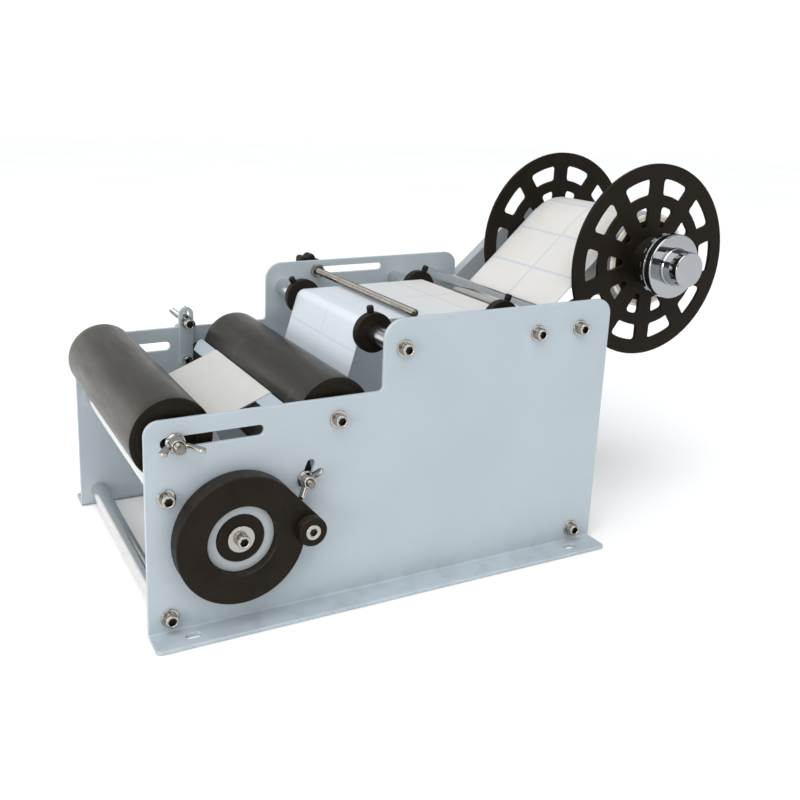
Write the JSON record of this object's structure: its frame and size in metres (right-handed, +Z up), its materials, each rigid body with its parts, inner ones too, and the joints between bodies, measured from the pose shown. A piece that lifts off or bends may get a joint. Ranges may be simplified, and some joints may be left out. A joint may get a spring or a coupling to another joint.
{
  "type": "manual bottle labeling machine",
  "caption": "Hand-cranked benchtop labeling machine for round bottles: twin rubber rollers, peel plate, crank take-up and a cantilever label reel between folded sheet-metal side plates.",
  "frame": {"origin": "on the bench plane, midway between the four base slots of the side plates", "axes": "+X to the crank side, +Y towards the reel end, +Z up; the bottle rollers are at the -Y end"},
  "size_m": [0.3043, 0.5853, 0.3249],
  "materials": {
    "plate_paint": "pale grey-blue powder coat, light orange peel",
    "arm_paint": "grey powder coat",
    "polished_rod": "ground and polished stainless bar",
    "fastener_steel": "bright zinc-plated steel",
    "shaft_steel": "turned steel",
    "bush_bronze": "sintered bronze",
    "roller_rubber": "ground black rubber, satin",
    "core_aluminium": "turned aluminium",
    "black_plastic": "fine-textured black plastic",
    "crank_plastic": "moulded black plastic, half gloss",
    "trim_plastic": "pale grey plastic ring",
    "black_steel": "black finish on sheet steel",
    "drum_aluminium": "turned aluminium",
    "disc_plastic": "black plastic disc, fine texture",
    "hub_chrome": "mirror chrome",
    "core_card": "spiral-wound cardboard",
    "label_paper": "cream self-adhesive labels on pale liner",
    "liner_paper": "pale silicone-coated liner"
  },
  "bodies": {
    "frame": {"right_side_plate": "plate_paint", "left_side_plate": "plate_paint", "front_upper_rod": "polished_rod", "front_lower_rod": "polished_rod", "rear_lower_rod": "polished_rod", "rear_top_rod": "polished_rod", "front_guide_rod": "polished_rod", "rear_guide_rod": "polished_rod", "cap_screws": "fastener_steel", "flat_washers": "fastener_steel", "rear_roller_axle": "shaft_steel", "shaft_bushes": "bush_bronze", "reel_arm": "arm_paint", "reel_shaft": "shaft_steel", "stop_bracket": "plate_paint", "label_web": "label_paper"},
    "peel": {"peel_plate": "plate_paint", "peel_arms": "black_steel", "peel_web": "liner_paper"},
    "right_peel_nut": {"right_peel_wing_nut": "fastener_steel"},
    "left_peel_nut": {"left_peel_wing_nut": "fastener_steel"},
    "front_axle": {"front_axle": "shaft_steel"},
    "right_front_nut": {"right_front_wing_nut": "fastener_steel"},
    "left_front_nut": {"left_front_wing_nut": "fastener_steel"},
    "front_roller": {"front_roller_sleeve": "roller_rubber", "front_roller_core": "core_aluminium", "front_roller_end_caps": "black_plastic", "front_roller_bearings": "shaft_steel"},
    "rear_roller": {"rear_roller_sleeve": "roller_rubber", "rear_roller_core": "core_aluminium", "rear_roller_end_caps": "black_plastic", "rear_roller_bearings": "shaft_steel"},
    "crank": {"crank_wheel": "crank_plastic", "crank_trim_ring": "trim_plastic", "crank_washer": "fastener_steel", "crank_screws": "fastener_steel", "drive_shaft": "shaft_steel", "take_up_drum": "drum_aluminium", "wound_liner": "liner_paper"},
    "crank_knob": {"crank_knob": "crank_plastic"},
    "front_right_guide": {"front_right_collar": "black_plastic", "front_right_thumb_screw": "black_steel"},
    "front_left_guide": {"front_left_collar": "black_plastic", "front_left_thumb_screw": "black_steel"},
    "rear_right_guide": {"rear_right_collar": "black_plastic", "rear_right_thumb_screw": "black_steel"},
    "rear_left_guide": {"rear_left_collar": "black_plastic", "rear_left_thumb_screw": "black_steel"},
    "hold_down": {"hold_down_rod": "fastener_steel", "hold_down_nut": "fastener_steel"},
    "star_knob": {"star_knob": "black_plastic"},
    "stop": {"stop_screw": "fastener_steel", "stop_nut": "fastener_steel"},
    "stop_nut_wing": {"stop_wing_nut": "fastener_steel"},
    "reel": {"left_reel_disc": "disc_plastic", "label_core": "core_card", "label_roll": "label_paper"},
    "near_flange": {"right_reel_disc": "disc_plastic", "lock_collar": "hub_chrome"},
    "lock_knob": {"lock_knob": "hub_chrome"}
  },
  "joints": [
    {"name": "crank_turn", "type": "hinge", "parent": "frame", "child": "crank", "pos_m": [0, -0.1343, 0.0722], "axis": [1, 0, 0], "continuous": true},
    {"name": "crank_knob_spin", "type": "hinge", "parent": "crank", "child": "crank_knob", "pos_m": [0.14, -0.0831, 0.0728], "axis": [1, 0, 0], "continuous": true},
    {"name": "front_axle_slide", "type": "slide", "parent": "frame", "child": "front_axle", "axis": [0, 1, 0], "range_m": [-0.0055, 0.013]},
    {"name": "front_roller_spin", "type": "hinge", "parent": "front_axle", "child": "front_roller", "pos_m": [0, -0.178, 0.1474], "axis": [1, 0, 0], "continuous": true},
    {"name": "right_front_wing_nut_turn", "type": "hinge", "parent": "front_axle", "child": "right_front_nut", "pos_m": [0.12, -0.178, 0.1474], "axis": [1, 0, 0], "continuous": true},
    {"name": "left_front_wing_nut_turn", "type": "hinge", "parent": "front_axle", "child": "left_front_nut", "pos_m": [-0.12, -0.178, 0.1474], "axis": [1, 0, 0], "continuous": true},
    {"name": "rear_roller_spin", "type": "hinge", "parent": "frame", "child": "rear_roller", "pos_m": [0, -0.053, 0.1474], "axis": [1, 0, 0], "continuous": true},
    {"name": "peel_slide", "type": "slide", "parent": "frame", "child": "peel", "axis": [0, 0.347, 0.9379], "range_m": [0, 0.011], "deforming": ["peel_web"]},
    {"name": "right_peel_wing_nut_turn", "type": "hinge", "parent": "peel", "child": "right_peel_nut", "pos_m": [0.12, -0.07891, 0.10399], "axis": [1, 0, 0], "continuous": true},
    {"name": "left_peel_wing_nut_turn", "type": "hinge", "parent": "peel", "child": "left_peel_nut", "pos_m": [-0.12, -0.07891, 0.10399], "axis": [1, 0, 0], "continuous": true},
    {"name": "front_right_guide_slide", "type": "slide", "parent": "frame", "child": "front_right_guide", "axis": [1, 0, 0], "range_m": [0, 0.038]},
    {"name": "front_left_guide_slide", "type": "slide", "parent": "frame", "child": "front_left_guide", "axis": [-1, 0, 0], "range_m": [0, 0.038]},
    {"name": "rear_right_guide_slide", "type": "slide", "parent": "frame", "child": "rear_right_guide", "axis": [1, 0, 0], "range_m": [0, 0.038]},
    {"name": "rear_left_guide_slide", "type": "slide", "parent": "frame", "child": "rear_left_guide", "axis": [-1, 0, 0], "range_m": [0, 0.038]},
    {"name": "hold_down_slide", "type": "slide", "parent": "frame", "child": "hold_down", "axis": [0, 1, 0], "range_m": [0, 0.066]},
    {"name": "star_knob_turn", "type": "hinge", "parent": "hold_down", "child": "star_knob", "pos_m": [-0.12, 0.0375, 0.2095], "axis": [1, 0, 0], "continuous": true},
    {"name": "stop_slide", "type": "slide", "parent": "frame", "child": "stop", "axis": [0, 0, 1], "range_m": [-0.001, 0.006]},
    {"name": "stop_wing_nut_turn", "type": "hinge", "parent": "stop", "child": "stop_nut_wing", "pos_m": [-0.12, -0.097, 0.17], "axis": [1, 0, 0], "continuous": true},
    {"name": "reel_spin", "type": "hinge", "parent": "frame", "child": "reel", "pos_m": [0, 0.289, 0.2366], "axis": [1, 0, 0], "continuous": true},
    {"name": "near_flange_slide", "type": "slide", "parent": "reel", "child": "near_flange", "axis": [1, 0, 0], "range_m": [0, 0.038]},
    {"name": "lock_knob_turn", "type": "hinge", "parent": "near_flange", "child": "lock_knob", "pos_m": [0.1, 0.289, 0.2366], "axis": [1, 0, 0], "continuous": true}
  ],
  "couplings": [
    {"joint": "rear_roller_spin", "follows": "crank_turn", "ratio": 0.8985},
    {"joint": "reel_spin", "follows": "crank_turn", "ratio": -0.6232}
  ]
}
